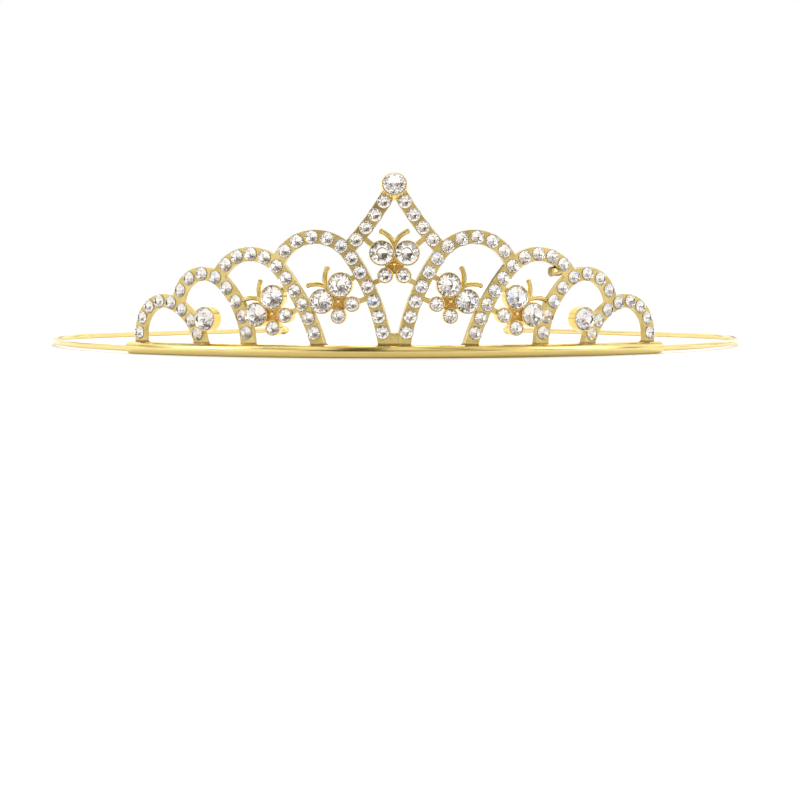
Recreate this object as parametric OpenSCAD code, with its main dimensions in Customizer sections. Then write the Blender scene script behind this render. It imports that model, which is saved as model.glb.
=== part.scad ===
// Mini crown headband: a cast arcade with round stones, soldered on a tube that a head wire runs through.
// The band lies flat, the crown stands up at the front (-Y), and X runs across. Millimetres.

/* [Band] */
// Radius of the band's round front, at the middle of the tube
band_r = 69; // [62:0.5:80]
// Turn of the round front to each side, in degrees
front_turn = 88; // [80:1:92]
// Radius of the bend behind each temple
bend_r = 25; // [15:1:35]
// Turn of the bend behind each temple, in degrees
bend_turn = 38; // [30:1:45]
// Radius of the slightly bowed tails
tail_r = 240; // [160:10:400]
// Length of each tail along its curve
tail_len = 55.5; // [45:0.5:62]
// Diameter of the head wire
wire_d = 1.1; // [0.8:0.05:1.3]
// Diameter of the flattened end balls
ball_d = 3.1; // [2.8:0.1:4]
// Thickness of the flattened end balls
ball_t = 1.9; // [1.9:0.1:2.6]

/* [Tube] */
// Bare tube beyond the middle of the outermost leg
tube_end = 2.75; // [2.25:0.25:8]
// Outside diameter of the tube
tube_d = 2.2; // [2:0.1:3]
// Wall of the tube
tube_wall = 0.3; // [0.2:0.05:0.35]

/* [Crown] */
// Distance along the tube from its middle to the outermost leg
crown_half = 49; // [45:0.5:54]
// Height of the peak stone above the tube's centre line
crown_h = 27.9; // [26:0.1:31]
// Width of the cast strips
strip_w = 2.35; // [2.3:0.05:2.7]
// Thickness of the cast strips
strip_t = 1.2; // [1.1:0.05:1.6]
// How far the strips stand behind the middle of the tube
crown_inset = 0.4; // [0.2:0.05:0.6]
// Width of the small joining bars
bar_w = 0.9; // [0.6:0.05:1.2]
// Thickness of the feelers
feeler_d = 0.8; // [0.6:0.05:1]
// Backward lean of the peak stone, in degrees
peak_lean = 24; // [0:1:40]

/* [Stones] */
// Diameter of the small stones
small_d = 2.25; // [2:0.05:2.4]
// Diameter of the big stones
big_d = 3.85; // [3.5:0.05:4.1]
// Diameter of the two side stones
side_d = 3.85; // [3.5:0.05:4.1]
// Spacing of the small stones along the strips
stone_spacing = 2.75; // [2.6:0.05:3.2]
// Wall of the stone cups
cup_wall = 0.15; // [0.1:0.01:0.3]
// Depth of the butterfly cups and the peak cup
cup_h = 1.8; // [1.75:0.05:2.6]
// Depth of the two side cups
side_cup_h = 2.1; // [1.95:0.05:3.2]
// Gap between a stone and its seat
set_gap = 0.05; // [0.03:0.01:0.08]

/* [Hidden] */
$fn = 32;
ROUND_FN = 180;
// Each row is one arch of the right half, from the middle outwards. Columns: centre along the tube
// (share of crown_half), centre height (share of crown_h), radius (share of crown_half), foot of the
// inner leg along the tube (share of crown_half), angle where the leg takes over, last stone's
// distance from the foot (in stone spacings)
ARCHES = [
    [0.274, 0.432, 0.146, 0.030, 145, 1.20],
    [0.512, 0.341, 0.140, 0.260, 140, 1.18],
    [0.700, 0.267, 0.114, 0.524, 132, 1.10],
    [0.881, 0.090, 0.119, 0.712, 109, 1.00],
];
LAST_ARCH = len(ARCHES) - 1;
// Columns: name, place along the tube (share of crown_half), height (share of crown_h), lean in degrees
BUTTERFLIES = [
    ["centre", 0, 0.590, 0],
    ["inner_left", -0.2175, 0.350, 41],
    ["inner_right", 0.2175, 0.350, -41],
    ["outer_left", -0.455, 0.272, 45],
    ["outer_right", 0.455, 0.272, -45],
];
// Columns: name, side of the butterfly, 1 for a big upper wing and 0 for a small lower wing
WINGS = [["upper_left", -1, 1], ["upper_right", 1, 1], ["lower_left", -1, 0], ["lower_right", 1, 0]];
SIDES = [["left", -1], ["right", 1]];

// Upper end of the peak strips, share of crown_half and of crown_h
PEAK_TOP = [0.010, 0.975];
// Angle on the first arch where a peak strip lands
PEAK_LANDING = 138;
// Radius of the slightly hollow peak strips, share of crown_h
PEAK_BOW = 1.7;
// Distance of the first and last peak stone from the strip's ends, in stone spacings
PEAK_MARGIN = 0.92;
// Distance of an arch's first stone from the arch that it lands on, in stone spacings
LAP = 1.08;
// Place of the two side stones, share of crown_half and of crown_h
SIDE_STONE = [0.684, 0.190];
// Stone proportions, shares of the diameter
TABLE = 0.54;
STAR = 0.76;
CROWN_UP = 0.20;
GIRDLE_T = 0.06;
PAVILION = 0.38;
CULET = 0.06;
// Turn from one stone to the next, so that no two neighbours face alike
STONE_SPIN = 137.5;
// How far a row stone's girdle stands off the strip
STONE_LIFT = 0.08;
// How far the cups reach behind the strips
CUP_BACK = 0.1;
// Gaps between the wing stones: the upper pair, the lower pair, and upper to lower
UPPER_SPLIT = 0.35;
LOWER_SPLIT = 0.8;
WING_DROP = 0.7;
// How far the butterfly's web reaches past the radius of a small cup
WEB_REACH = 0.3;
// Feelers: radius, turn and starting direction
FEELER_R = 4.1;
FEELER_TURN = 41;
FEELER_START = 66;
FEELER_ROOT = 1.5;
// Top of the link between the middle legs, in strip widths above the top of the tube
LINK_UP = 0.8;
// Casting stub: angle of its root on the arch, direction, length in strip widths, and thickness in
// strip thicknesses
STUB_AT = 38;
STUB_TURN = 188;
STUB_LEN = 1.25;
STUB_T = 1.35;
// Running gap between the wire and the tube or ball that it passes
WIRE_GAP = 0.05;
// Where two stretches of a strip or of the wire join, the second starts this far inside the first,
// and is this much slimmer, so that they make one solid
JOINT_LAP = 0.2;
JOINT_STEP = 0.02;

wire_r = wire_d / 2;
tube_r = tube_d / 2;
bore_r = tube_r - tube_wall;
ball_r = ball_d / 2;
crown_r = band_r - crown_inset;
tube_len = 2 * (crown_half + tube_end);
big_cup_r = big_d / 2 + set_gap + cup_wall;
small_cup_r = small_d / 2 + set_gap + cup_wall;
side_cup_r = side_d / 2 + set_gap + cup_wall;
// Thickness of the slab that a strip is cut from, enough for the band's curve
slab = strip_t * 3.5;

// The wire's route in plan, from the middle of the round front: temple, end of the bend, tail's end
temple = band_r * [sin(front_turn), -cos(front_turn)];
bend_centre = (band_r - bend_r) * [sin(front_turn), -cos(front_turn)];
bend_end_turn = front_turn + bend_turn;
tail_centre = bend_centre - (tail_r - bend_r) * [sin(bend_end_turn), -cos(bend_end_turn)];
tail_turn = tail_len / tail_r * 180 / PI;
tail_end_turn = bend_end_turn + tail_turn;
tail_end = tail_centre + tail_r * [sin(tail_end_turn), -cos(tail_end_turn)];

// The wire lies on the bottom of the bore and rises to the balls, so that tube and balls share a floor
wire_front_z = tube_r - (bore_r - wire_r - WIRE_GAP);
wire_rise = atan2(ball_t / 2 - wire_front_z, tail_end.y + band_r);

// Front and back of the whole headband, so that the origin is under its middle
stone_top = (GIRDLE_T + CROWN_UP) * big_d;
peak_reach = stone_top * cos(peak_lean) + TABLE * big_d / 2 * sin(peak_lean);
front_y = -(crown_r - strip_t / 2 - CUP_BACK + cup_h - set_gap + peak_reach);
back_y = tail_end.y + ball_r;
middle_y = (front_y + back_y) / 2;

function wing_name(b, w) = str("stone_", b[0], "_", w[0]);
function arch_row_name(i, side) = str("row_arch_", i + 1, "_", side[0]);
function peak_row_name(side) = str("row_peak_", side[0]);

function dir(a) = [cos(a), sin(a)];
function unit(v) = v / norm(v);
function full_angle(v) = (atan2(v.y, v.x) + 360) % 360;
function nearest(centre, r, p) = centre + r * unit(p - centre);

// One arch: a round top, and an inner leg that leaves it tangent and bends on to the foot
function arch_centre(i) = [ARCHES[i][0] * crown_half, ARCHES[i][1] * crown_h];
function arch_r(i) = ARCHES[i][2] * crown_half;
function arch_foot(i) = [ARCHES[i][3] * crown_half, 0];
function leg_angle(i) = ARCHES[i][4];
function leg_start(i) = arch_centre(i) + arch_r(i) * dir(leg_angle(i));
function leg_r(i) = let (v = arch_foot(i) - leg_start(i)) -(v * v) / (2 * v * dir(leg_angle(i)));
function leg_centre(i) = leg_start(i) - leg_r(i) * dir(leg_angle(i));
function leg_end(i) = full_angle(arch_foot(i) - leg_centre(i));

// Angle where an arch meets the centre line of the next one out, and 0 for the outermost arch
function outer_angle(i) =
    i == LAST_ARCH ? 0 :
    let (
        gap = arch_centre(i + 1) - arch_centre(i),
        d = norm(gap),
        along = (arch_r(i) ^ 2 - arch_r(i + 1) ^ 2 + d ^ 2) / (2 * d)
    ) atan2(gap.y, gap.x) + acos(along / arch_r(i));

// The outermost arch comes down to the tube in a straight outer leg
function straight_len(i) = i == LAST_ARCH ? arch_centre(i).y : 0;
function round_len(i) = arch_r(i) * (leg_angle(i) - outer_angle(i)) * PI / 180;
function leg_len(i) = leg_r(i) * (leg_end(i) - leg_angle(i)) * PI / 180;
function arch_len(i) = straight_len(i) + round_len(i) + leg_len(i);

// Point at a distance t along an arch, from its outer end over the top to its foot
function arch_point(i, t) =
    let (top_t = t - straight_len(i), leg_t = top_t - round_len(i))
    top_t < 0 ? arch_centre(i) + [arch_r(i), top_t] :
    leg_t < 0 ? arch_centre(i) + arch_r(i) * dir(outer_angle(i) + top_t / arch_r(i) * 180 / PI) :
    leg_centre(i) + leg_r(i) * dir(leg_angle(i) + leg_t / leg_r(i) * 180 / PI);

// One side of the peak: a slightly hollow strip from the peak down to the first arch
peak_top = [PEAK_TOP.x * crown_half, PEAK_TOP.y * crown_h];
peak_foot = arch_centre(0) + arch_r(0) * dir(PEAK_LANDING);
peak_bow_r = PEAK_BOW * crown_h;
peak_chord = peak_foot - peak_top;
peak_centre = (peak_top + peak_foot) / 2
    + sqrt(peak_bow_r ^ 2 - peak_chord * peak_chord / 4) * unit([-peak_chord.y, peak_chord.x]);
peak_start = full_angle(peak_top - peak_centre);
peak_end = full_angle(peak_foot - peak_centre);
peak_len = peak_bow_r * (peak_end - peak_start) * PI / 180;
function peak_point(t) = peak_centre + peak_bow_r * dir(peak_start + t / peak_bow_r * 180 / PI);

// Distances of evenly spaced stones on a strip of length len, with bare stretches at both ends
function spaced(len, first, last) =
    let (room = len - first - last, steps = max(1, round(room / stone_spacing)))
    [for (k = [0:steps]) first + k * room / steps];

function arch_first(i) = (i == LAST_ARCH ? ARCHES[i][5] : LAP) * stone_spacing;
function arch_stones(i) =
    [for (t = spaced(arch_len(i), arch_first(i), ARCHES[i][5] * stone_spacing)) arch_point(i, t)];
function peak_stones() =
    [for (t = spaced(peak_len, PEAK_MARGIN * stone_spacing, PEAK_MARGIN * stone_spacing)) peak_point(t)];

// Butterfly places: its middle on the crown, and each wing from there
function butterfly_at(b) = [b[1] * crown_half, b[2] * crown_h];
function wing_offset(w) = w[2] == 1
    ? [w[1] * (big_d + UPPER_SPLIT) / 2, 0]
    : [w[1] * (small_d + LOWER_SPLIT) / 2, -((big_d + small_d) / 2 + WING_DROP)];
function wing_d(w) = w[2] == 1 ? big_d : small_d;
function turned(v, a) = [v.x * cos(a) - v.y * sin(a), v.x * sin(a) + v.y * cos(a)];
function wing_at(b, w) = butterfly_at(b) + turned(wing_offset(w), b[3]);
side_stone_at = [SIDE_STONE.x * crown_half, SIDE_STONE.y * crown_h];

// Puts its children on the crown at p = [distance along the tube, height], facing outwards
module on_crown(p, out = 0) {
    rotate([0, 0, p.x / band_r * 180 / PI])
        translate([0, -(crown_r + out), tube_r + p.y])
            rotate([90, 0, 0]) children();
}

// A bent strip in the flat pattern, round centre c, seen from the place s_mid along the tube
module flat_arc(c, r, from, to, s_mid, slimmer = 0) {
    w = strip_w - slimmer;
    t = slab + slimmer;
    translate([c.x - s_mid, c.y, -t / 2])
        rotate([0, 0, from])
            rotate_extrude(angle = to - from, $fn = ROUND_FN)
                translate([r - w / 2, 0]) square([w, t]);
}

// A straight strip in the flat pattern from p to q
module flat_bar(p, q, s_mid, w = bar_w) {
    v = q - p;
    t = slab + JOINT_STEP * 2;
    translate([p.x - s_mid, p.y, -t / 2])
        rotate([0, 0, atan2(v.y, v.x)])
            translate([0, -w / 2, 0]) cube([norm(v), w, t]);
}

// The joining bar from a cup at p to the nearest point of a round strip
module bar_to(centre, r, p, s_mid) {
    flat_bar(p, nearest(centre, r, p), s_mid);
}

module arch_strip(i) {
    s_mid = arch_centre(i).x;
    leg_lap = JOINT_LAP / leg_r(i) * 180 / PI;
    on_crown([s_mid, 0]) {
        flat_arc(arch_centre(i), arch_r(i), outer_angle(i), leg_angle(i), s_mid);
        flat_arc(leg_centre(i), leg_r(i), leg_angle(i) - leg_lap, leg_end(i), s_mid, JOINT_STEP);
        if (i == LAST_ARCH) {
            outer = arch_centre(i) + [arch_r(i), JOINT_LAP];
            flat_bar([outer.x, 0], outer, s_mid, strip_w - JOINT_STEP);
        }
    }
}

module peak_strip() {
    on_crown([0, 0]) flat_arc(peak_centre, peak_bow_r, peak_start, peak_end, 0);
}

// Bars of the right half: centre butterfly, inner butterfly, outer butterfly and side stone
module joining_bars() {
    centre = BUTTERFLIES[0];
    inner = BUTTERFLIES[2];
    outer = BUTTERFLIES[4];
    low = wing_at(centre, WINGS[3]) + [small_cup_r, -small_cup_r] * 0.5;
    on_crown([0, 0]) {
        bar_to(peak_centre, peak_bow_r, wing_at(centre, WINGS[1]), 0);
        bar_to(leg_centre(0), leg_r(0), low, 0);
    }
    inner_s = butterfly_at(inner).x;
    on_crown([inner_s, 0]) {
        bar_to(leg_centre(0), leg_r(0), wing_at(inner, WINGS[0]), inner_s);
        bar_to(leg_centre(0), leg_r(0), wing_at(inner, WINGS[2]), inner_s);
        bar_to(leg_centre(1), leg_r(1), wing_at(inner, WINGS[1]), inner_s);
    }
    outer_s = butterfly_at(outer).x;
    on_crown([outer_s, 0]) {
        bar_to(leg_centre(1), leg_r(1), wing_at(outer, WINGS[0]), outer_s);
        bar_to(leg_centre(1), leg_r(1), wing_at(outer, WINGS[2]), outer_s);
        bar_to(leg_centre(2), leg_r(2), wing_at(outer, WINGS[1]), outer_s);
    }
    on_crown([side_stone_at.x, 0])
        bar_to(leg_centre(3), leg_r(3), side_stone_at, side_stone_at.x);
}

// The thin curved shell that the flat pattern is bent to
module shell() {
    difference() {
        cylinder(r = crown_r + strip_t / 2, h = tube_r + crown_h + strip_w, $fn = ROUND_FN);
        translate([0, 0, -1])
            cylinder(r = crown_r - strip_t / 2, h = tube_r + crown_h + strip_w + 2, $fn = ROUND_FN);
    }
}

module arcade() {
    intersection() {
        shell();
        union() {
            for (m = [0, 1]) mirror([m, 0, 0]) {
                for (i = [0:LAST_ARCH]) arch_strip(i);
                peak_strip();
                joining_bars();
            }
            middle_link();
        }
    }
}

// The small cast link between the two middle legs
module middle_link() {
    half_w = arch_foot(0).x;
    on_crown([0, 0]) translate([-half_w, 0, -slab / 2]) cube([2 * half_w, tube_r + strip_w * LINK_UP, slab]);
}

module cup(p, r, h) {
    on_crown(p, -(strip_t / 2 + CUP_BACK)) cylinder(r = r, h = h);
}

// One feeler, in the butterfly's own plane
module feeler() {
    centre = [0, FEELER_ROOT] + FEELER_R * dir(FEELER_START - 90);
    translate([centre.x, centre.y, 0])
        rotate([0, 0, FEELER_START + 90 - FEELER_TURN])
            rotate_extrude(angle = FEELER_TURN, $fn = ROUND_FN)
                translate([FEELER_R, 0]) circle(d = feeler_d);
}

// The butterfly's middle: a web between the cups, a bead on it, a stem and two feelers
module butterfly_body(b) {
    web_y = wing_offset(WINGS[2]).y / 2;
    web_r = small_cup_r + WEB_REACH;
    on_crown(butterfly_at(b)) rotate([0, 0, b[3]]) {
        translate([0, web_y, -strip_t / 2]) cylinder(r = web_r, h = strip_t * 0.8);
        translate([0, web_y, strip_t * 0.3]) sphere(d = feeler_d * 0.9);
        translate([-feeler_d / 2, web_y, -feeler_d / 2])
            cube([feeler_d, FEELER_ROOT + feeler_d * 0.4 - web_y, feeler_d]);
        for (m = [0, 1]) mirror([m, 0, 0]) feeler();
    }
}

module cups() {
    for (b = BUTTERFLIES) for (w = WINGS)
        cup(wing_at(b, w), w[2] == 1 ? big_cup_r : small_cup_r, cup_h);
    for (side = SIDES) cup([side[1] * side_stone_at.x, side_stone_at.y], side_cup_r, side_cup_h);
    peak_place() translate([0, 0, -cup_h + set_gap]) cylinder(r = big_cup_r, h = cup_h);
}

// The peak stone's place: its girdle's underside, leaning back
module peak_place() {
    rim_out = cup_h - strip_t / 2 - CUP_BACK - set_gap;
    on_crown([0, crown_h], rim_out) rotate([-peak_lean, 0, 0]) children();
}

// The cast stub that points inwards from the second arch to the right
module casting_stub() {
    p = arch_centre(1) + arch_r(1) * dir(STUB_AT);
    on_crown(p, -strip_t / 6) rotate([0, 0, STUB_TURN]) rotate([0, 90, 0])
        cylinder(d = strip_t * STUB_T, h = STUB_LEN * strip_w, $fn = 8);
}

// A seat that fits a stone of diameter d, with its girdle's underside at z = 0
module seat(d) {
    depth = PAVILION * d + set_gap;
    translate([0, 0, -depth]) cylinder(r1 = CULET * d + set_gap, r2 = d / 2 + set_gap, h = depth);
    cylinder(r = d / 2 + set_gap, h = d);
}

module row_seats() {
    for (side = SIDES) {
        for (i = [0:LAST_ARCH]) for (p = arch_stones(i))
            on_crown([side[1] * p.x, p.y], strip_t / 2 + STONE_LIFT) seat(small_d);
        for (p = peak_stones())
            on_crown([side[1] * p.x, p.y], strip_t / 2 + STONE_LIFT) seat(small_d);
    }
}

module cup_seats() {
    rim = cup_h - strip_t / 2 - CUP_BACK - set_gap;
    for (b = BUTTERFLIES) for (w = WINGS) on_crown(wing_at(b, w), rim) seat(wing_d(w));
    for (side = SIDES) side_place(side) seat(side_d);
    peak_place() seat(big_d);
}

module side_place(side) {
    rim = side_cup_h - strip_t / 2 - CUP_BACK - set_gap;
    on_crown([side[1] * side_stone_at.x, side_stone_at.y], rim) children();
}

// A round bar bent to the band's front, from the middle to both sides
module front_bar(r, len) {
    turn = len / band_r * 180 / PI;
    translate([0, 0, tube_r]) rotate([0, 0, -90 - turn / 2])
        rotate_extrude(angle = turn, $fn = ROUND_FN) translate([band_r, 0]) circle(r = r);
}

module crown_frame() {
    color("gold") translate([0, -middle_y, 0]) difference() {
        union() {
            front_bar(tube_r, tube_len);
            arcade();
            cups();
            for (b = BUTTERFLIES) butterfly_body(b);
            casting_stub();
        }
        front_bar(bore_r, tube_len + 2);
        row_seats();
        cup_seats();
    }
}

// A stretch of the wire, bent round centre c from one turn to another, measured from the front
module wire_arc(c, r, from, to, slimmer = 0) {
    lap = slimmer > 0 ? JOINT_LAP / r * 180 / PI : 0;
    translate([c.x, c.y, 0]) rotate([0, 0, from - lap - 90])
        rotate_extrude(angle = to - from + lap, $fn = ROUND_FN)
            translate([r, 0]) circle(d = wire_d - slimmer);
}

// Puts its children on the wire's own plane, which rises slightly to the back
module wire_plane() {
    translate([0, -middle_y - band_r, wire_front_z]) rotate([wire_rise, 0, 0])
        translate([0, band_r, 0]) children();
}

module head_wire() {
    color("goldenrod") wire_plane() {
        wire_arc([0, 0], band_r, -front_turn, front_turn);
        for (m = [0, 1]) mirror([m, 0, 0]) {
            wire_arc(bend_centre, bend_r, front_turn, bend_end_turn, JOINT_STEP);
            wire_arc(tail_centre, tail_r, bend_end_turn, tail_end_turn, 2 * JOINT_STEP);
        }
    }
}

// One flattened end ball, drilled along the wire to a little past its middle
module tip(side) {
    bore_depth = ball_r * 0.3;
    profile = [for (k = [0:24]) [ball_r * sin(7.5 * k), ball_t / 2 * cos(7.5 * k)]];
    color("gold") wire_plane() translate([side[1] * tail_end.x, tail_end.y, 0])
        difference() {
            rotate_extrude($fn = 48) polygon(profile);
            rotate([0, 0, side[1] * tail_end_turn + (side[1] < 0 ? 180 : 0)]) rotate([0, -90, 0])
                translate([0, 0, -bore_depth]) cylinder(r = wire_r + WIRE_GAP, h = 2 * ball_r);
        }
}

// A round cut stone with a table, 8 star, 8 kite and 16 girdle facets, girdle's underside at z = 0
module stone(d) {
    r = d / 2;
    top = GIRDLE_T * d + CROWN_UP * d;
    star_r = STAR * r;
    star_z = GIRDLE_T * d + CROWN_UP * d * (r - star_r * cos(22.5)) / (r - TABLE * r);
    points = concat(
        [for (k = [0:7]) [TABLE * r * cos(45 * k), TABLE * r * sin(45 * k), top]],
        [for (k = [0:7]) [star_r * cos(45 * k + 22.5), star_r * sin(45 * k + 22.5), star_z]],
        [for (k = [0:15]) [r * cos(22.5 * k), r * sin(22.5 * k), GIRDLE_T * d]],
        [for (k = [0:15]) [r * cos(22.5 * k), r * sin(22.5 * k), 0]],
        [[0, 0, -PAVILION * d]]
    );
    faces = concat(
        [[for (k = [7:-1:0]) k]],
        [for (k = [0:7]) [k, (k + 1) % 8, 8 + k]],
        [for (k = [0:7]) [k, 8 + k, 16 + 2 * k, 8 + (k + 7) % 8]],
        [for (k = [0:7]) [8 + k, 17 + 2 * k, 16 + 2 * k]],
        [for (k = [0:7]) [8 + k, 16 + (2 * k + 2) % 16, 17 + 2 * k]],
        [for (k = [0:15]) [16 + k, 16 + (k + 1) % 16, 32 + (k + 1) % 16, 32 + k]],
        [for (k = [0:15]) [32 + k, 32 + (k + 1) % 16, 48]]
    );
    polyhedron(points, faces);
}

module row(points, side) {
    color("lightcyan") translate([0, -middle_y, 0])
        for (k = [0:len(points) - 1])
            on_crown([side[1] * points[k].x, points[k].y], strip_t / 2 + STONE_LIFT)
                rotate([0, 0, k * STONE_SPIN]) stone(small_d);
}

module wing_stone(b, w) {
    rim = cup_h - strip_t / 2 - CUP_BACK - set_gap;
    color("white") translate([0, -middle_y, 0]) on_crown(wing_at(b, w), rim) stone(wing_d(w));
}

module side_stone(side) {
    color("white") translate([0, -middle_y, 0]) side_place(side) stone(side_d);
}

module peak_stone() {
    color("white") translate([0, -middle_y, 0]) peak_place() stone(big_d);
}

crown_frame();
head_wire();
peak_stone();
for (side = SIDES) {
    tip(side);
    side_stone(side);
    row(peak_stones(), side);
}
for (b = BUTTERFLIES) for (w = WINGS)
    wing_stone(b, w);
for (i = [0:LAST_ARCH]) for (side = SIDES)
    row(arch_stones(i), side);
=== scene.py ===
from math import atan2, cos, pi, radians, sin

import bmesh
import bpy
from mathutils import Matrix, Vector


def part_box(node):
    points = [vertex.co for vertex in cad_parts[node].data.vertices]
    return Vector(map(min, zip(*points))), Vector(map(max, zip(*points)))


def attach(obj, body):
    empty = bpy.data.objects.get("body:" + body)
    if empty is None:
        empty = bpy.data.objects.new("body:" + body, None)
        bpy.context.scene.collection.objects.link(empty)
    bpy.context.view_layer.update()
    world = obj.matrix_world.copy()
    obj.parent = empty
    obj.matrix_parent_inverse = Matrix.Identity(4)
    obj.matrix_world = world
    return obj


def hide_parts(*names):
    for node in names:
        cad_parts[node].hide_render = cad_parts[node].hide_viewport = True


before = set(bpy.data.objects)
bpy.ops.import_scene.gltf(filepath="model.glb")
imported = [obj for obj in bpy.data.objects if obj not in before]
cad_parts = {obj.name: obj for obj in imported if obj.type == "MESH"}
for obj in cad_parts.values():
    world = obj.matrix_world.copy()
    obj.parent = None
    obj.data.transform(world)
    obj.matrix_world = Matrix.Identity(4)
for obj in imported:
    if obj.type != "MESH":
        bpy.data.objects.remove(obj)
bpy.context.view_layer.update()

# Camera
# The photograph was taken with a long lens, 300 mm in front of the tube, straight at the crown. It
# looks up at the band, which a headband lying on a surface doesn't allow, so the camera stays just
# above the floor.
MM = 0.001
TUBE_RADIUS = 1.1 * MM
WIRE_RADIUS = 0.55 * MM
BAND_RADIUS = 69 * MM
LENS = 80.5
SENSOR = 36
NEAREST_SEEN = 1 * MM
PHOTO_DISTANCE = 300 * MM
PHOTO_ACROSS = -0.93 * MM
PHOTO_DOWN = 8.12 * MM
ELEVATION = radians(4)
wire_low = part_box("head_wire")[0]
tube_front = Vector((0, wire_low.y + WIRE_RADIUS, TUBE_RADIUS))
band_middle = tube_front + Vector((0, BAND_RADIUS, 0))
ahead = Vector((0, cos(ELEVATION), -sin(ELEVATION)))
above = Vector((0, sin(ELEVATION), cos(ELEVATION)))
right = Vector((1, 0, 0))
viewpoint = tube_front - ahead * PHOTO_DISTANCE - right * PHOTO_ACROSS - above * PHOTO_DOWN

bpy.ops.object.camera_add(location=viewpoint)
camera = bpy.context.object
camera.rotation_euler = Matrix((right, above, -ahead)).transposed().to_euler()
camera.data.lens = LENS
camera.data.sensor_width = SENSOR
camera.data.clip_start = NEAREST_SEEN
bpy.context.scene.camera = camera

# Studio
# A sheet of white paper lies under a pale sky with soft darker clouds. The sky is darkest behind
# the camera and in a broad stripe left of it, which the tube mirrors. Soft lamps hang above and at
# both sides, and the far paper fades to white.
PAPER_RADIUS = 4
PAPER_DROP = 0.02 * MM
PAPER_PATCHES = 60
PAPER_TONES = [(0, (0.86, 0.86, 0.86)), (1, (0.88, 0.88, 0.88))]
PAPER_FADES = (0.2, 1)
PAPER_GLOWS = (0.05, 0.5)
SKY_DARK_RISE = radians(10)
SKY_TONES = [
    (0.35, (1, 1, 1)),
    (0.75, (0.93, 0.91, 0.89)),
    (0.95, (0.72, 0.69, 0.66)),
    (0.995, (0.34, 0.31, 0.28)),
]
CLOUDS = 4
CLOUD_TONES = [(0.38, (0.24, 0.22, 0.2)), (0.43, (1, 0.99, 0.97)), (0.62, (1.35, 1.33, 1.3))]
STRIPE_SIDES = (radians(-26), radians(2))
STRIPE_DARK = (0.3, 0.27, 0.23)
STRIPE_TONES = [(0.15, (1, 1, 1)), (0.25, STRIPE_DARK), (0.76, STRIPE_DARK), (0.84, (1, 1, 1))]


def softbox(name, place, aim, size, power):
    """Hangs a soft rectangular lamp and turns it to what it lights."""
    bpy.ops.object.light_add(type="AREA", location=place)
    lamp = bpy.context.object
    lamp.name = name
    lamp.data.shape = "RECTANGLE"
    lamp.data.size, lamp.data.size_y = size
    lamp.data.energy = power
    lamp.rotation_euler = (Vector(aim) - Vector(place)).to_track_quat("-Z", "Y").to_euler()


def reckon(tree, kind, operation, *values):
    """The result of a Math or VectorMath node that works on these sockets and plain values."""
    node = tree.nodes.new("ShaderNode" + kind)
    node.operation = operation
    for socket, value in zip(node.inputs, values):
        if isinstance(value, bpy.types.NodeSocket):
            tree.links.new(value, socket)
        else:
            socket.default_value = value
    return node.outputs["Vector" if (kind, operation) == ("VectorMath", "MULTIPLY") else "Value"]


def mapped(tree, value, start, end, low=0, high=1):
    """A socket's value, taken from the span start to end into the span low to high."""
    span = tree.nodes.new("ShaderNodeMapRange")
    for name, limit in zip(("From Min", "From Max", "To Min", "To Max"), (start, end, low, high)):
        span.inputs[name].default_value = limit
    tree.links.new(value, span.inputs["Value"])
    return span.outputs["Result"]


def toned(tree, value, stops):
    """The colour of a ramp at a socket's value. Each of its stops is a position and a colour."""
    ramp = tree.nodes.new("ShaderNodeValToRGB")
    elements = ramp.color_ramp.elements
    while len(elements) < len(stops):
        elements.new(0.5)
    for element, (position, colour) in zip(elements, stops):
        element.position = position
        element.color = (*colour, 1)
    tree.links.new(value, ramp.inputs["Fac"])
    return ramp.outputs["Color"]


def patchy(tree, place, patches, stops, detail=2):
    """Soft patches, so many to the metre: their strength, and a ramp's colour that follows it."""
    noise = tree.nodes.new("ShaderNodeTexNoise")
    noise.inputs["Scale"].default_value = patches
    noise.inputs["Detail"].default_value = detail
    tree.links.new(place, noise.inputs["Vector"])
    return noise.outputs["Fac"], toned(tree, noise.outputs["Fac"], stops)


def tinted(name, patches, stops, finish):
    """A material whose colour drifts in soft patches, with these plain settings on its shader."""
    material = bpy.data.materials.new(name)
    material.use_nodes = True
    tree = material.node_tree
    place = tree.nodes.new("ShaderNodeTexCoord").outputs["Object"]
    shader = tree.nodes["Principled BSDF"]
    tree.links.new(patchy(tree, place, patches, stops)[1], shader.inputs["Base Color"])
    for socket, value in finish.items():
        shader.inputs[socket].default_value = value
    return material


bpy.ops.mesh.primitive_circle_add(
    vertices=96, radius=PAPER_RADIUS, fill_type="NGON", location=(0, 0, -PAPER_DROP)
)
floor = bpy.context.object
floor.name = "studio_floor"
paper_finish = {"Emission Color": (1, 1, 1, 1), "Roughness": 0.9, "Specular IOR Level": 0}
paper = tinted("white_paper", PAPER_PATCHES, PAPER_TONES, paper_finish)
paper_tree = paper.node_tree
paper_place = paper_tree.nodes.new("ShaderNodeTexCoord").outputs["Object"]
paper_far = reckon(paper_tree, "VectorMath", "LENGTH", paper_place)
paper_glow = mapped(paper_tree, paper_far, *PAPER_FADES, *PAPER_GLOWS)
paper_tree.links.new(paper_glow, paper_tree.nodes["Principled BSDF"].inputs["Emission Strength"])
floor.data.materials.append(paper)

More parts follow.
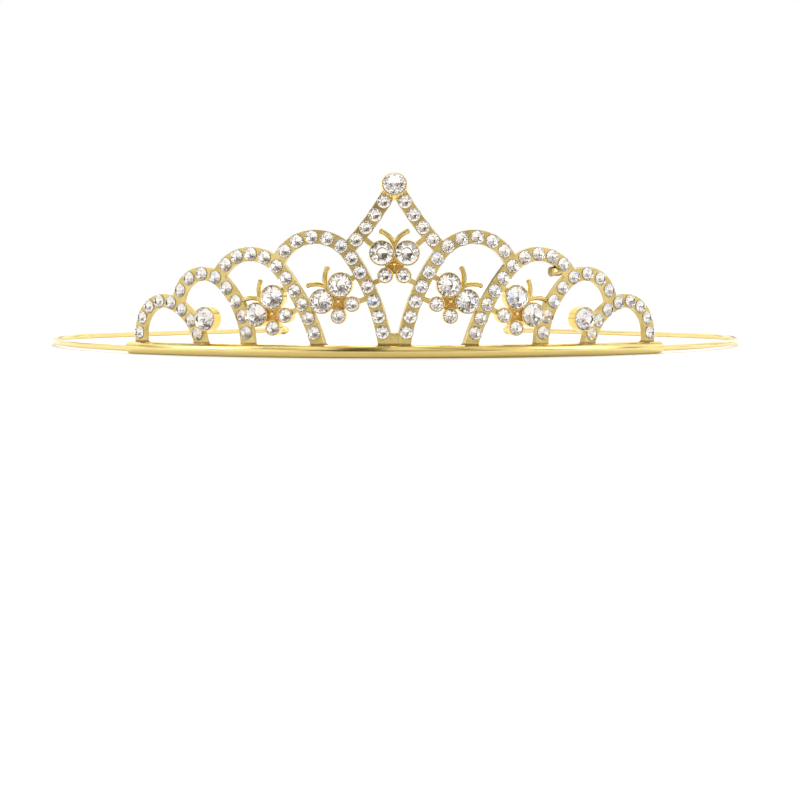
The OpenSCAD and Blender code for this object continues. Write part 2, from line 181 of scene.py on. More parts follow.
sky = bpy.data.worlds.new("studio_sky")
bpy.context.scene.world = sky
sky.use_nodes = True
sky_tree = sky.node_tree
sky_way = sky_tree.nodes.new("ShaderNodeTexCoord").outputs["Generated"]
sky_dark_way = (0, -cos(SKY_DARK_RISE), sin(SKY_DARK_RISE))
sky_dark = reckon(sky_tree, "VectorMath", "DOT_PRODUCT", sky_way, sky_dark_way)
sky_tone = toned(sky_tree, sky_dark, SKY_TONES)
sky_cover = patchy(sky_tree, sky_way, CLOUDS, CLOUD_TONES, detail=1)[1]
sky_clouded = reckon(sky_tree, "VectorMath", "MULTIPLY", sky_tone, sky_cover)
sky_parts = sky_tree.nodes.new("ShaderNodeSeparateXYZ")
sky_tree.links.new(sky_way, sky_parts.inputs["Vector"])
sky_back = reckon(sky_tree, "Math", "MULTIPLY", sky_parts.outputs["Y"], -1)
sky_side = reckon(sky_tree, "Math", "ARCTAN2", sky_parts.outputs["X"], sky_back)
sky_stripe = toned(sky_tree, mapped(sky_tree, sky_side, *STRIPE_SIDES), STRIPE_TONES)
sky_all = reckon(sky_tree, "VectorMath", "MULTIPLY", sky_clouded, sky_stripe)
sky_lit = sky_tree.nodes.new("ShaderNodeBackground")
sky_tree.links.new(sky_all, sky_lit.inputs["Color"])
sky_seen = sky_tree.nodes["Background"]
sky_seen.inputs["Color"].default_value = (1, 1, 1, 1)
sky_rays = sky_tree.nodes.new("ShaderNodeLightPath")
sky_choice = sky_tree.nodes.new("ShaderNodeMixShader")
sky_tree.links.new(sky_rays.outputs["Is Camera Ray"], sky_choice.inputs["Fac"])
sky_tree.links.new(sky_lit.outputs["Background"], sky_choice.inputs[1])
sky_tree.links.new(sky_seen.outputs["Background"], sky_choice.inputs[2])
sky_tree.links.new(sky_choice.outputs["Shader"], sky_tree.nodes["World Output"].inputs["Surface"])

softbox("lamp_above", (0, 0.2, 0.8), (0, -0.05, 0), (0.6, 0.4), 2.2)
softbox("lamp_left", (-0.7, -0.35, 0.45), (0, 0, 0.01), (0.3, 0.5), 1.2)
softbox("lamp_right", (0.7, -0.35, 0.45), (0, 0, 0.01), (0.3, 0.5), 1.2)
bpy.context.scene.view_settings.view_transform = "Standard"

# Cast crown
# The arcade, its cups and the tube under it are soldered into one piece of soft cast metal, then
# polished and plated in pale gold. Its edges carry a painted highlight, a lighter gold mixed in
# where they round off, and the tube keeps the long fine marks of the polishing wheel.
STRIP_RADIUS = 68.6 * MM
STRIP_THICKNESS = 1.2 * MM
CUP_WALL = 0.15 * MM
CUP_DEPTH = 2.4 * MM
SET_GAP = 0.05 * MM
FOIL_SHARE = 0.38
WEB_RADIUS = 1.7 * MM
GOLD_PATCH = 2.5 * MM
GOLD_GRAIN = 0.25 * MM
# The edge settings below paint a highlight of lighter gold where the surface rounds off.
EDGE_RADIUS = 0.2 * MM
EDGE_HIGHLIGHT_FACINGS = (0.985, 0.85)
EDGE_HIGHLIGHT_SHARE = 0.9
EDGE_HIGHLIGHT_GOLD = (1, 0.87, 0.48)
STREAK_STRETCH = 2 * MM
# Painted shade: cast gold turns brown below an uneven line where the feet meet the tube.
FEET_SHADE_LINE = (2.2 * MM, 2.0 * MM)
FEET_SHADE_UNEVEN = 0.6 * MM
FEET_SHADE_BROWN = (0.3, 0.19, 0.06)
WELD = 0.002 * MM
ON_SURFACE = 0.03 * MM
SKIN = 0.02 * MM
SHARP_EDGE = radians(35)
FACES_OUT = 0.94
FOLLOWS_CURVE = 0.98
WINGS = ("upper_left", "upper_right", "lower_left", "lower_right")
BUTTERFLIES = ("centre", "inner_left", "inner_right", "outer_left", "outer_right")
TUBE_SLOT, CUP_SLOT, WEB_SLOT = 1, 2, 3


def mixed(tree, share, colour, other):
    """A socket's colour, mixed with a plain other one by a socket's share."""
    mix = tree.nodes.new("ShaderNodeMix")
    mix.data_type = "RGBA"
    mix.inputs[7].default_value = (*other, 1)
    tree.links.new(share, mix.inputs["Factor"])
    tree.links.new(colour, mix.inputs[6])
    return mix.outputs[2]


def along_band(tree, place):
    """Coordinates that run along the curve of the band, stretched so that marks follow it."""
    centred = tree.nodes.new("ShaderNodeMapping")
    centred.inputs["Location"].default_value = -band_middle
    tree.links.new(place, centred.inputs["Vector"])
    parts = tree.nodes.new("ShaderNodeSeparateXYZ")
    tree.links.new(centred.outputs["Vector"], parts.inputs["Vector"])
    turn = reckon(tree, "Math", "ARCTAN2", parts.outputs["X"], parts.outputs["Y"])
    out = reckon(tree, "VectorMath", "LENGTH", centred.outputs["Vector"])
    joined = tree.nodes.new("ShaderNodeCombineXYZ")
    tree.links.new(reckon(tree, "Math", "MULTIPLY", turn, STREAK_STRETCH), joined.inputs["X"])
    tree.links.new(out, joined.inputs["Y"])
    tree.links.new(parts.outputs["Z"], joined.inputs["Z"])
    return joined.outputs["Vector"]


def paint_feet_shade(tree, place, patches, colour):
    """The colour, painted brown as shade below an uneven line where the feet meet the tube."""
    parts = tree.nodes.new("ShaderNodeSeparateXYZ")
    tree.links.new(place, parts.inputs["Vector"])
    height = reckon(tree, "Math", "MULTIPLY_ADD", patches, -FEET_SHADE_UNEVEN, parts.outputs["Z"])
    return mixed(tree, mapped(tree, height, *FEET_SHADE_LINE), colour, FEET_SHADE_BROWN)


def gold(name, pale, deep, shine, grain_height, streaked=False, feet_shaded=False):
    """Plated gold: its colour and shine drift in soft patches, its edges carry a painted highlight
    of lighter gold, and a fine grain covers it."""
    material = bpy.data.materials.new(name)
    material.use_nodes = True
    tree = material.node_tree
    place = tree.nodes.new("ShaderNodeTexCoord").outputs["Object"]
    if streaked:
        place = along_band(tree, place)
    patches, tone = patchy(tree, place, 1 / GOLD_PATCH, [(0.35, deep), (0.65, pale)], detail=4)
    grain = tree.nodes.new("ShaderNodeTexNoise")
    grain.inputs["Scale"].default_value = 1 / GOLD_GRAIN
    tree.links.new(place, grain.inputs["Vector"])
    rounded = tree.nodes.new("ShaderNodeBevel")
    rounded.samples = 4
    rounded.inputs["Radius"].default_value = EDGE_RADIUS
    relief = tree.nodes.new("ShaderNodeBump")
    relief.inputs["Distance"].default_value = grain_height
    tree.links.new(grain.outputs["Fac"], relief.inputs["Height"])
    tree.links.new(rounded.outputs["Normal"], relief.inputs["Normal"])
    straight = tree.nodes.new("ShaderNodeNewGeometry").outputs["Normal"]
    # Painted highlight: lighter gold is mixed in where the rounded normal turns from the face's
    # own.
    facing = reckon(tree, "VectorMath", "DOT_PRODUCT", rounded.outputs["Normal"], straight)
    colour = mixed(tree, mapped(tree, facing, *EDGE_HIGHLIGHT_FACINGS, 0, EDGE_HIGHLIGHT_SHARE), tone, EDGE_HIGHLIGHT_GOLD)
    # Painted shade at the feet of the legs.
    if feet_shaded:
        colour = paint_feet_shade(tree, place, patches, colour)
    shader = tree.nodes["Principled BSDF"]
    shader.inputs["Metallic"].default_value = 1
    tree.links.new(colour, shader.inputs["Base Color"])
    tree.links.new(mapped(tree, patches, 0, 1, *shine), shader.inputs["Roughness"])
    tree.links.new(relief.outputs["Normal"], shader.inputs["Normal"])
    return material


def off_middle(spot):
    """The level way from the upright line through the band's middle to a spot."""
    return (spot - band_middle) * Vector((1, 1, 0))


def merged_copy(name, node):
    """A copy of a CAD node with its loose triangles joined into one skin and its own shading taken
    off."""
    bpy.ops.object.select_all(action="DESELECT")
    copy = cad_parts[node].copy()
    copy.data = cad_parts[node].data.copy()
    for key in list(copy.keys()):
        del copy[key]
    copy.parent = None
    copy.name = copy.data.name = name
    bpy.context.collection.objects.link(copy)
    copy.select_set(True)
    bpy.context.view_layer.objects.active = copy
    bpy.ops.object.mode_set(mode="EDIT")
    bpy.ops.mesh.select_all(action="SELECT")
    bpy.ops.mesh.remove_doubles(threshold=WELD)
    bpy.ops.object.mode_set(mode="OBJECT")
    bpy.ops.mesh.customdata_custom_splitnormals_clear()
    copy.data.materials.clear()
    return copy


def shade_truly(piece):
    """Shades a faceted copy as the smooth metal it stands for: curved faces get their curve's own
    directions, and flat faces in front and behind stay flat."""
    bpy.ops.object.shade_smooth_by_angle(angle=SHARP_EDGE)
    bpy.ops.object.modifier_add(type="WEIGHTED_NORMAL")
    piece.modifiers[-1].keep_sharp = True
    bpy.ops.object.modifier_apply(modifier=piece.modifiers[-1].name)
    mesh = piece.data
    directions = [corner.vector.copy() for corner in mesh.corner_normals]
    for face in mesh.polygons:
        for corner in face.loop_indices:
            spot = mesh.vertices[mesh.loops[corner].vertex_index].co
            height = spot.z - band_middle.z
            reach = off_middle(spot).length
            outwards = off_middle(spot).normalized()
            off_strip = abs(abs(reach - STRIP_RADIUS) - STRIP_THICKNESS / 2)
            if off_strip < ON_SURFACE and height > 0:
                true = outwards
            elif face.material_index == TUBE_SLOT:
                true = (outwards * (reach - BAND_RADIUS) + Vector((0, 0, height))).normalized()
            elif abs(face.normal.dot(outwards)) > FACES_OUT:
                true = face.normal.copy()
            else:
                continue
            lean = face.normal.dot(true)
            if abs(lean) > FOLLOWS_CURVE:
                directions[corner] = true if lean > 0 else -true
    mesh.normals_split_custom_set(directions)


def stone_spots(node):
    """The corners of every stone in a CAD node, one list for each stone."""
    shape = bmesh.new()
    shape.from_mesh(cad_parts[node].data)
    bmesh.ops.remove_doubles(shape, verts=shape.verts, dist=WELD)
    seen = set()
    for start in shape.verts:
        reached = [] if start in seen else [start]
        seen.add(start)
        for vertex in reached:
            for edge in vertex.link_edges:
                other = edge.other_vert(vertex)
                if other not in seen:
                    seen.add(other)
                    reached.append(other)
        if reached:
            yield [vertex.co.copy() for vertex in reached]
    shape.free()


def stone_axis(spots):
    """The foil point of a single stone, the direction from there to its table, and its radius."""
    middle = sum(spots, Vector()) / len(spots)
    inwards = -off_middle(middle)
    point = max(spots, key=lambda spot: (spot - middle).dot(inwards))
    axis = (middle - point).normalized()
    radius = max((spot - point).cross(axis).length for spot in spots)
    return point, axis, radius


cast_gold = gold(
    "cast_gold", (0.71, 0.56, 0.215), (0.51, 0.385, 0.125), (0.16, 0.3), 0.01 * MM, feet_shaded=True
)
tube_gold = gold(
    "tube_gold", (1, 0.84, 0.38), (0.77, 0.61, 0.22), (0.08, 0.22), 0.006 * MM, streaked=True
)
cup_gold = gold("cup_gold", (0.98, 0.74, 0.25), (0.9, 0.64, 0.17), (0.12, 0.25), 0.006 * MM)
# Painted shade: the webs sunk between four cups get a deeper amber gold for the shade in them.
web_shade_gold = gold("web_shade_gold", (0.62, 0.36, 0.09), (0.42, 0.22, 0.04), (0.2, 0.35), 0.012 * MM)
crown = merged_copy("gold_crown", "crown_frame")
for material in (cast_gold, tube_gold, cup_gold, web_shade_gold):
    crown.data.materials.append(material)
cup_axes = {}
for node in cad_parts:
    if node.startswith(("stone_", "side_", "peak_")):
        cup_axes[node] = stone_axis(next(stone_spots(node)))
web_centres = []
for butterfly in BUTTERFLIES:
    points = [cup_axes[f"stone_{butterfly}_{wing}"][0] for wing in WINGS]
    web_centres.append(sum(points, Vector()) / len(WINGS))
for face in crown.data.polygons:
    level = off_middle(face.center)
    from_tube = Vector((level.length - BAND_RADIUS, face.center.z - TUBE_RADIUS)).length
    if from_tube < TUBE_RADIUS + SKIN:
        face.material_index = TUBE_SLOT
        continue
    for point, axis, radius in cup_axes.values():
        wall = radius + SET_GAP + CUP_WALL + SKIN
        reaches = [crown.data.vertices[corner].co - point for corner in face.vertices]
        along = (face.center - point).dot(axis) - 2 * radius * FOIL_SHARE
        if abs(along) < CUP_DEPTH and all(reach.cross(axis).length < wall for reach in reaches):
            face.material_index = CUP_SLOT
            break
    else:
        # Faces of the web between a butterfly's cups take the painted shade gold.
        way = level.normalized()
        if any((face.center - centre).cross(way).length < WEB_RADIUS for centre in web_centres):
            face.material_index = WEB_SLOT
shade_truly(crown)
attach(crown, "root")
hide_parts("crown_frame")

# Rims of the cups
# Each big stone and wing stone stands in a round cup of its own. The cup's thin edge was burnished
# over towards the stone, which left a small rounded bead of bright gold all the way round.
LIP = 0.1 * MM
LIP_STRETCH = 1.5
RIMS = {
    "upper_wing_rims": "_upper_",
    "lower_wing_rims": "_lower_",
    "side_rims": "side_",
    "peak_rim": "peak_",
}


def set_out(pattern, places, name, material):
    """Copies a modelled pattern to each place and joins the copies into one finished piece."""
    copies = []
    for place in places:
        copy = pattern.copy()
        copy.data = pattern.data.copy()
        copy.data.transform(place)
        bpy.context.collection.objects.link(copy)
        copies.append(copy)
    bpy.data.objects.remove(pattern)
    bpy.ops.object.select_all(action="DESELECT")
    for copy in copies:
        copy.select_set(True)
    bpy.context.view_layer.objects.active = copies[0]
    if len(copies) > 1:
        bpy.ops.object.join()
    piece = bpy.context.object
    piece.name = piece.data.name = name
    piece.data.materials.clear()
    piece.data.materials.append(material)
    bpy.ops.object.mode_set(mode="EDIT")
    bpy.ops.mesh.select_all(action="SELECT")
    bpy.ops.mesh.normals_make_consistent(inside=False)
    bpy.ops.object.mode_set(mode="OBJECT")
    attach(piece, "root")
    return piece


for piece_name, mark in RIMS.items():
    cups = [cup for node, cup in cup_axes.items() if mark in node]
    rim_radius = cups[0][2] + SET_GAP + CUP_WALL / 2
    bpy.ops.object.select_all(action="DESELECT")
    bpy.ops.mesh.primitive_torus_add(
        major_radius=rim_radius, minor_radius=LIP, major_segments=40, minor_segments=8
    )
    rim = bpy.context.object
    bpy.ops.object.mode_set(mode="EDIT")
    bpy.ops.transform.resize(value=(1, 1, LIP_STRETCH))
    bpy.ops.object.mode_set(mode="OBJECT")
    bpy.ops.object.shade_smooth()
    rim_places = []
    for point, axis, radius in cups:
        seat = point + axis * (2 * radius * FOIL_SHARE - LIP / 2)
        upright = axis.to_track_quat("Z", "Y").to_matrix().to_4x4()
        rim_places.append(Matrix.Translation(seat) @ upright)
    set_out(rim, rim_places, piece_name, cup_gold)

# Butterfly webs
# The web between four cups carries a raised star with a bead in its middle, cast with it. Its arms
# run out to the gaps between the cups, and the polishing wheel has caught only their tops.
HUB = 0.34 * MM
HUB_SIDE = 0.9 * HUB
ARM_LENGTHS = ((1, 0, 0.65 * MM), (-1, 0, 0.65 * MM), (0, 1, 1.0 * MM), (0, -1, 1.05 * MM))
ARM_TAPER = 0.45
STAR_HEIGHT = 0.16 * MM
STAR_EDGE = 0.05 * MM
WEB_TOP = 0.34 * MM
BEAD = 0.38 * MM
BEAD_LIFT = 0.2 * BEAD
BEAD_FOOT = (1.2, 1.2, 0.6)


def pick(piece, kind, test):
    """Selects the verts, edges or faces of a piece in edit mode whose middle passes the test."""
    shape = bmesh.from_edit_mesh(piece.data)
    bpy.ops.mesh.select_all(action="DESELECT")
    for element in getattr(shape, kind):
        spots = [element.co] if kind == "verts" else [vertex.co for vertex in element.verts]
        if test(sum(spots, Vector()) / len(spots)):
            element.select_set(True)
    shape.select_flush_mode()
    bmesh.update_edit_mesh(piece.data)


def strip_place(across, up, outwards, height, out=0.0):
    """A place on the upright curve of the strips with these directions, at a height over the floor
    and moved out from the curve."""
    place = Matrix((across, up, outwards)).transposed().to_4x4()
    middle = band_middle * Vector((1, 1, 0))
    place.translation = middle + outwards * (STRIP_RADIUS + out) + Vector((0, 0, height))
    return place


def butterfly_place(butterfly):
    """A butterfly's place between its upper wings, with x towards its right wing and z outwards."""
    left = cup_axes[f"stone_{butterfly}_upper_left"][0]
    right_wing = cup_axes[f"stone_{butterfly}_upper_right"][0]
    middle = (left + right_wing) / 2
    outwards = off_middle(middle).normalized()
    span = right_wing - left
    across = (span - outwards * span.dot(outwards)).normalized()
    return strip_place(across, outwards.cross(across), outwards, middle.z)


bpy.ops.object.select_all(action="DESELECT")
bpy.ops.mesh.primitive_circle_add(vertices=16, radius=HUB, fill_type="NGON")
star = bpy.context.object
bpy.ops.object.mode_set(mode="EDIT")
bpy.ops.mesh.select_mode(type="EDGE")
for x, y, length in ARM_LENGTHS:
    way = Vector((x, y, 0))
    pick(star, "edges", lambda middle: middle.dot(way) > HUB_SIDE and middle.length < HUB)
    bpy.ops.mesh.extrude_region_move(TRANSFORM_OT_translate={"value": way * length})
    bpy.ops.transform.resize(value=(ARM_TAPER if y else 1, ARM_TAPER if x else 1, 1))
bpy.ops.mesh.select_mode(type="FACE")
bpy.ops.mesh.select_all(action="SELECT")
bpy.ops.mesh.extrude_region_move(TRANSFORM_OT_translate={"value": (0, 0, STAR_HEIGHT)})
bpy.ops.mesh.inset(thickness=STAR_EDGE)
bpy.ops.transform.translate(value=(0, 0, STAR_EDGE))
bpy.ops.object.mode_set(mode="OBJECT")
bpy.ops.object.modifier_add(type="SUBSURF")
star.modifiers[-1].levels = star.modifiers[-1].render_levels = 2
bpy.ops.object.modifier_apply(modifier=star.modifiers[-1].name)
bpy.ops.object.shade_smooth()
star_places = []
for butterfly, centre in zip(BUTTERFLIES, web_centres):
    place = butterfly_place(butterfly)
    drop = (place.inverted() @ centre).y
    star_places.append(place @ Matrix.Translation((0, drop, WEB_TOP)))
star_gold = gold("star_gold", (0.9, 0.58, 0.24), (0.74, 0.42, 0.14), (0.12, 0.25), 0.008 * MM)
set_out(star, star_places, "web_stars", star_gold)
bpy.ops.object.select_all(action="DESELECT")
bpy.ops.mesh.primitive_uv_sphere_add(segments=16, ring_count=8, radius=BEAD)
bead = bpy.context.object
bpy.ops.object.mode_set(mode="EDIT")
bpy.ops.mesh.select_mode(type="VERT")
pick(bead, "verts", lambda spot: spot.z < -BEAD_LIFT)
bpy.ops.transform.resize(value=BEAD_FOOT)
bpy.ops.mesh.select_all(action="SELECT")
bpy.ops.transform.translate(value=(0, 0, STAR_HEIGHT + STAR_EDGE + BEAD_LIFT))
bpy.ops.object.mode_set(mode="OBJECT")
bpy.ops.object.shade_smooth()
bead_gold = gold("bead_gold", (1, 0.88, 0.42), (0.95, 0.8, 0.33), (0.3, 0.42), 0.002 * MM)
set_out(bead, star_places, "web_beads", bead_gold)

# Feelers
# Two feelers curl out of every butterfly's head. They are round stalks of the same metal, cast
# with the butterfly, and they end in rounded knobs thicker than the stalks.
FEELER_RADIUS = 0.42 * MM
FEELER_BEND = 4.1 * MM
FEELER_ROOT = 1.5 * MM
FEELER_FROM = radians(156)
FEELER_TO = radians(115)
FEELER_FLAT = 0.99
KNOB_STEPS = ((0.16 * MM, 1.12), (0.18 * MM, 0.96), (0.14 * MM, 0.74), (0.08 * MM, 0.5))
bpy.ops.object.select_all(action="DESELECT")
feeler_start = Vector((sin(FEELER_FROM), -cos(FEELER_FROM), 0))
feeler_end = Vector((sin(FEELER_TO), -cos(FEELER_TO), 0))
feeler_side = Vector((-cos(FEELER_FROM), -sin(FEELER_FROM), 0))
feeler_middle = Vector((0, FEELER_ROOT, 0)) + feeler_side * FEELER_BEND
feeler_lean = feeler_start.to_track_quat("Z", "Y").to_euler()
bpy.ops.mesh.primitive_circle_add(
    vertices=14, radius=FEELER_RADIUS, location=(0, FEELER_ROOT, 0), rotation=feeler_lean
)
feeler = bpy.context.object
bpy.ops.object.transform_apply(location=True, rotation=True, scale=True)
bpy.ops.object.mode_set(mode="EDIT")
bpy.ops.mesh.select_mode(type="EDGE")
bpy.ops.mesh.select_all(action="SELECT")
bpy.ops.mesh.spin(steps=12, angle=FEELER_FROM - FEELER_TO, center=feeler_middle, axis=(0, 0, 1))
for step, growth in KNOB_STEPS:
    bpy.ops.mesh.extrude_region_move(TRANSFORM_OT_translate={"value": feeler_end * step})
    bpy.ops.transform.resize(value=(growth, growth, growth))
bpy.ops.mesh.edge_face_add()
bpy.ops.mesh.select_all(action="DESELECT")
bpy.ops.mesh.select_non_manifold()
bpy.ops.mesh.edge_face_add()
bpy.ops.mesh.select_all(action="SELECT")
bpy.ops.transform.resize(value=(1, 1, FEELER_FLAT))
bpy.ops.object.mode_set(mode="OBJECT")
bpy.ops.object.modifier_add(type="MIRROR")
feeler.modifiers[-1].use_mirror_merge = False
bpy.ops.object.modifier_apply(modifier=feeler.modifiers[-1].name)
bpy.ops.object.shade_smooth()
feeler_places = [butterfly_place(butterfly) for butterfly in BUTTERFLIES]
set_out(feeler, feeler_places, "feelers", cast_gold)

# Solder
# The arcade stands on the tube in soft solder. It has run into small lumpy fillets behind the feet
# of the legs and over the link between the two middle legs, and it was plated with the rest.
# A thin dark brown strip at each side of the link is painted shade, standing for the shaded
# grooves there.
FEET = (1.47 * MM, 12.74 * MM, 25.68 * MM, 34.89 * MM, 49 * MM)
FILLET = (1.35, 0.42, 0.4)
FILLET_SINK = 0.1 * MM
FILLET_INSET = 0.62 * MM
HUMP = (0.62, 0.3, 0.62)
LINK_TOP = 4 * MM
GROOVE_SHADE = (0.1, 0.85, 0.06)
GROOVE_SHADE_ALONG = 0.62 * MM
GROOVE_SHADE_RISE = 0.8 * MM
GROOVE_SHADE_SINK = 0.02 * MM
GROOVE_SHADE_TURN = radians(7)
LUMPS = 0.12 * MM
LUMP_SPAN = 0.7 * MM


def band_place(along, height, out=0.0, turn=0.0):
    """A place on the strips' curve: x along the band and y up, turned in its own plane."""
    angle = along / BAND_RADIUS
    outwards = Vector((sin(angle), -cos(angle), 0))
    across = Vector((cos(angle), sin(angle), 0))
    place = strip_place(across, Vector((0, 0, 1)), outwards, height, out)
    return place @ Matrix.Rotation(turn, 4, "Z")


lumps = bpy.data.textures.new("solder_lumps", "CLOUDS")
lumps.noise_scale = LUMP_SPAN


def roughen(piece, strength):
    """Swells a piece unevenly, as metal that has set or broken in the open."""
    bpy.ops.object.modifier_add(type="DISPLACE")
    swell = piece.modifiers[-1]
    swell.texture = lumps
    swell.texture_coords = "LOCAL"
    swell.strength = strength
    bpy.ops.object.modifier_apply(modifier=swell.name)


def solder_blob(reach, shift):
    """A blob of solder with these half sizes in millimetres; the shift picks its own lumps."""
    bpy.ops.object.select_all(action="DESELECT")
    bpy.ops.mesh.primitive_ico_sphere_add(subdivisions=4, radius=MM)
    blob = bpy.context.object
    bpy.ops.object.mode_set(mode="EDIT")
    bpy.ops.transform.resize(value=reach)
    bpy.ops.transform.translate(value=(shift, 0, 0))
    bpy.ops.object.mode_set(mode="OBJECT")
    roughen(blob, LUMPS)
    blob.data.transform(Matrix.Translation((-shift, 0, 0)))
    bpy.ops.object.shade_smooth()
    return blob


fillet_places = [
    band_place(side * foot, 2 * TUBE_RADIUS - FILLET_SINK, -FILLET_INSET)
    for foot in FEET
    for side in (-1, 1)
]
fillet = solder_blob(FILLET, 3 * MM)
set_out(fillet, fillet_places, "solder_fillets", cast_gold)
hump = solder_blob(HUMP, 7 * MM)
set_out(hump, [band_place(0, LINK_TOP)], "solder_hump", cast_gold)
brown_gold = gold("brown_gold", (0.5, 0.36, 0.17), (0.3, 0.19, 0.07), (0.25, 0.5), 0.02 * MM)
groove_shade_height = 2 * TUBE_RADIUS + GROOVE_SHADE_RISE
groove_shade_out = STRIP_THICKNESS / 2 - GROOVE_SHADE_SINK
groove_shade_places = [
    band_place(side * GROOVE_SHADE_ALONG, groove_shade_height, groove_shade_out, -side * GROOVE_SHADE_TURN) for side in (-1, 1)
]
# Painted shade: thin dark brown strips at each side of the link.
groove_shade = solder_blob(GROOVE_SHADE, 5 * MM)
set_out(groove_shade, groove_shade_places, "link_groove_shades", brown_gold)

# Casting stub
# The metal was poured through a stub on the second arch to the right. It was snapped off short and
# never filed, so its broken end is rough, and the plating on it has gone brown.
STUB_ALONG = 30.49 * MM
STUB_HEIGHT = 13.74 * MM
STUB_OUT = -0.2 * MM
STUB_TURN = radians(188)
STUB_FROM = 1.1 * MM
STUB_TO = 3.05 * MM
STUB_RADIUS = 0.84 * MM
BREAK_NEAR = 0.45
BREAK_INSET = 0.25 * STUB_RADIUS
BREAK_SHIFT = (0.12 * MM, 0.08 * MM, 0.05 * MM)
BREAK_ROUGH = 1.6 * LUMPS
BREAK_EDGE = radians(20)
bpy.ops.object.select_all(action="DESELECT")
stub_length = STUB_TO - STUB_FROM
bpy.ops.mesh.primitive_cylinder_add(
    vertices=8, radius=STUB_RADIUS, depth=stub_length, rotation=(0, pi / 2, 0)
)
stub = bpy.context.object
bpy.ops.object.transform_apply(location=True, rotation=True, scale=True)
bpy.ops.object.mode_set(mode="EDIT")
bpy.ops.mesh.select_mode(type="FACE")
pick(stub, "faces", lambda middle: middle.x > BREAK_NEAR * stub_length)
bpy.ops.mesh.inset(thickness=BREAK_INSET)
bpy.ops.transform.translate(value=BREAK_SHIFT)
bpy.ops.mesh.select_all(action="SELECT")
bpy.ops.mesh.subdivide(number_cuts=2)
bpy.ops.object.mode_set(mode="OBJECT")
roughen(stub, BREAK_ROUGH)
bpy.ops.object.shade_smooth_by_angle(angle=BREAK_EDGE)
stub_place = band_place(STUB_ALONG, TUBE_RADIUS + STUB_HEIGHT, STUB_OUT, STUB_TURN)
stub_place = stub_place @ Matrix.Translation(((STUB_FROM + STUB_TO) / 2, 0, 0))
set_out(stub, [stub_place], "casting_stub", brown_gold)

# Stones
# Cut glass stones with mirror foil on their points, pressed into cups and drilled seats. The glass
# is clear, and the foil behind it throws the studio's light back in bright and dark facets.
# Small blue and pink patches in the foil's colour are painted glints, standing for the glass's
# fire.
GLASS_PATCHES = 400
GLASS_TONES = [(0, (0.97, 0.98, 1)), (1, (1, 0.98, 0.97))]
FOIL_PATCHES = 900
FOIL_PALE = (0.96, 0.94, 0.91)
# Painted glints: the blue and pink stops colour small patches of the foil.
FOIL_TONES_AND_GLINTS = [(0.3, (0.7, 0.8, 1)), (0.38, FOIL_PALE), (0.66, FOIL_PALE), (0.74, (1, 0.82, 0.76))]
FOIL_FACING = -0.45
GLASS_SLOT, FOIL_SLOT = 0, 1
glass_finish = {"Transmission Weight": 1, "IOR": 1.55, "Roughness": 0}
clear_glass = tinted("clear_glass", GLASS_PATCHES, GLASS_TONES, glass_finish)
mirror_foil = tinted("mirror_foil", FOIL_PATCHES, FOIL_TONES_AND_GLINTS, {"Metallic": 1, "Roughness": 0.04})
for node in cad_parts:
    if not node.startswith(("stone_", "row_", "side_", "peak_")):
        continue
    stone = merged_copy("cut_" + node, node)
    bpy.ops.object.shade_flat()
    stone.data.materials.append(clear_glass)
    stone.data.materials.append(mirror_foil)
    for face in stone.data.polygons:
        facing = face.normal.dot(off_middle(face.center).normalized())
        face.material_index = FOIL_SLOT if facing < FOIL_FACING else GLASS_SLOT
    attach(stone, "root")
    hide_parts(node)

# Seats of the row stones
# The rows' stones are pressed into seats drilled straight into the strips. A low dark brown ring
# round each seat is painted shade, the shade in the seat's gap, set off so that it shows mostly
# below and right of the stone.
SEAT_SHADE_RING = 0.06
SEAT_SHADE_FLAT = 0.7
# Painted shade: this shift puts the dark ring's crescent below and right of each stone.
SEAT_SHADE_SHIFT = Vector((0.02 * MM, -0.03 * MM, 0))
bpy.ops.object.select_all(action="DESELECT")
bpy.ops.mesh.primitive_torus_add(
    major_radius=1, minor_radius=SEAT_SHADE_RING, major_segments=28, minor_segments=6
)
seat_shade = bpy.context.object
bpy.ops.object.mode_set(mode="EDIT")
bpy.ops.transform.resize(value=(1, 1, SEAT_SHADE_FLAT))
bpy.ops.object.mode_set(mode="OBJECT")
bpy.ops.object.shade_smooth()
seat_shade_places = []
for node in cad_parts:
    if not node.startswith("row_"):
        continue
    for spots in stone_spots(node):
        point, axis, radius = stone_axis(spots)
        depth = STRIP_RADIUS + STRIP_THICKNESS / 2 - off_middle(point).length
        across = Vector((0, 0, 1)).cross(axis).normalized()
        seat = Matrix((across, axis.cross(across), axis)).transposed().to_4x4()
        seat.translation = point + axis * depth
        grown = Matrix.Scale(radius * (1 + SEAT_SHADE_RING / 2), 4)
        seat_shade_places.append(seat @ Matrix.Translation(SEAT_SHADE_SHIFT) @ grown)
set_out(seat_shade, seat_shade_places, "seat_shade_rings", brown_gold)

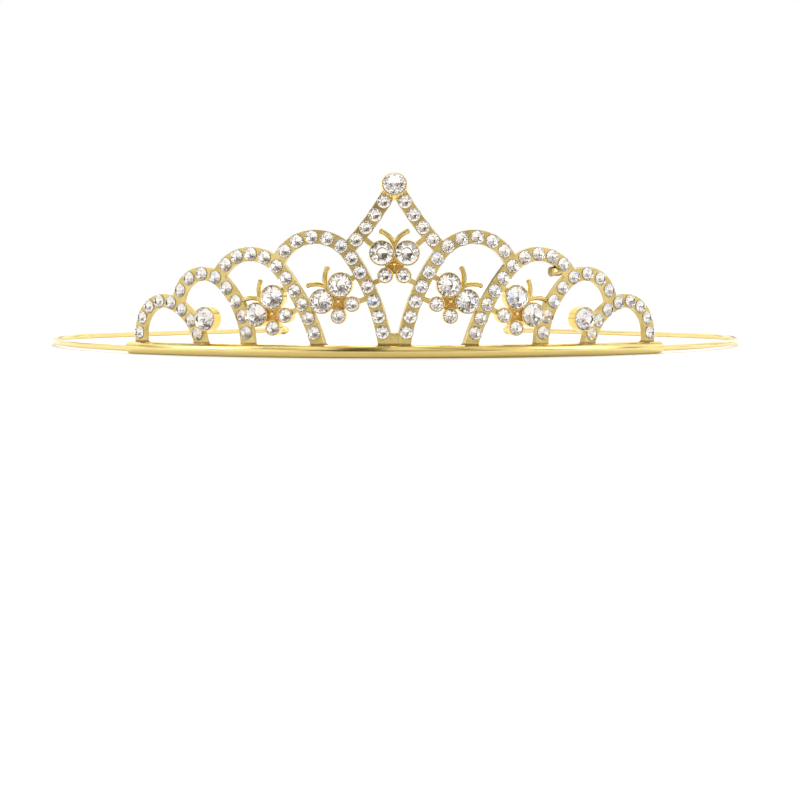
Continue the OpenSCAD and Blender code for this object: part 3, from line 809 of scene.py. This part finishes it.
# Head wire
# One springy wire, drawn, bent and plated, runs through the tube and back past the ears. Its front
# is round, it turns in behind the temples, and the two tails are bowed slightly and rise to the
# balls on their ends.
FRONT_TURN = radians(88)
BEND_RADIUS = 25 * MM
BEND_TURN = radians(38)
TAIL_RADIUS = 240 * MM
TAIL_TURN = 55.5 * MM / TAIL_RADIUS
WIRE_JOIN = 0.001 * MM
wire_gold = gold(
    "wire_gold", (0.97, 0.8, 0.38), (0.9, 0.72, 0.3), (0.14, 0.22), 0.004 * MM, streaked=True
)
front_out = Vector((sin(FRONT_TURN), -cos(FRONT_TURN), 0))
bend_out = Vector((sin(FRONT_TURN + BEND_TURN), -cos(FRONT_TURN + BEND_TURN), 0))
bend_middle = front_out * (BAND_RADIUS - BEND_RADIUS)
tail_middle = bend_middle - bend_out * (TAIL_RADIUS - BEND_RADIUS)
bpy.ops.object.select_all(action="DESELECT")
bpy.ops.mesh.primitive_circle_add(
    vertices=20, radius=WIRE_RADIUS, location=(0, -BAND_RADIUS, 0), rotation=(0, pi / 2, 0)
)
wire = bpy.context.object
wire.name = wire.data.name = "gold_head_wire"
bpy.ops.object.transform_apply(location=True, rotation=True, scale=True)
bpy.ops.object.mode_set(mode="EDIT")
bpy.ops.mesh.select_mode(type="EDGE")
bpy.ops.mesh.select_all(action="SELECT")
bpy.ops.mesh.spin(steps=66, angle=FRONT_TURN, center=(0, 0, 0), axis=(0, 0, -1))
bpy.ops.mesh.spin(steps=24, angle=BEND_TURN, center=bend_middle, axis=(0, 0, -1))
bpy.ops.mesh.spin(steps=16, angle=TAIL_TURN, center=tail_middle, axis=(0, 0, -1))
bpy.ops.mesh.edge_face_add()
bpy.ops.object.mode_set(mode="OBJECT")
bpy.ops.object.modifier_add(type="MIRROR")
wire.modifiers[-1].merge_threshold = WIRE_JOIN
bpy.ops.object.modifier_apply(modifier=wire.modifiers[-1].name)
bpy.ops.object.mode_set(mode="EDIT")
bpy.ops.mesh.select_all(action="SELECT")
bpy.ops.mesh.normals_make_consistent(inside=False)
bpy.ops.object.mode_set(mode="OBJECT")
ball_low, ball_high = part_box("tip_right")
wire_front = Vector((0, tube_front.y, wire_low.z + WIRE_RADIUS))
ball_way = (ball_low + ball_high) / 2 - wire_front
rise = Matrix.Rotation(atan2(ball_way.z, ball_way.y), 4, "X")
wire.data.transform(Matrix.Translation(wire_front) @ rise @ Matrix.Translation((0, BAND_RADIUS, 0)))
wire.data.materials.append(wire_gold)
bpy.ops.object.shade_smooth_by_angle(angle=SHARP_EDGE)
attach(wire, "root")
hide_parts("head_wire")

# End balls
# A small flattened brass ball is drilled, pushed on each end of the wire and fixed there, so that
# the wire doesn't scratch. Both are plated with the wire.
for node in ("tip_left", "tip_right"):
    ball = merged_copy("gold_" + node, node)
    ball.data.materials.append(wire_gold)
    shade_truly(ball)
    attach(ball, "root")
    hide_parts(node)
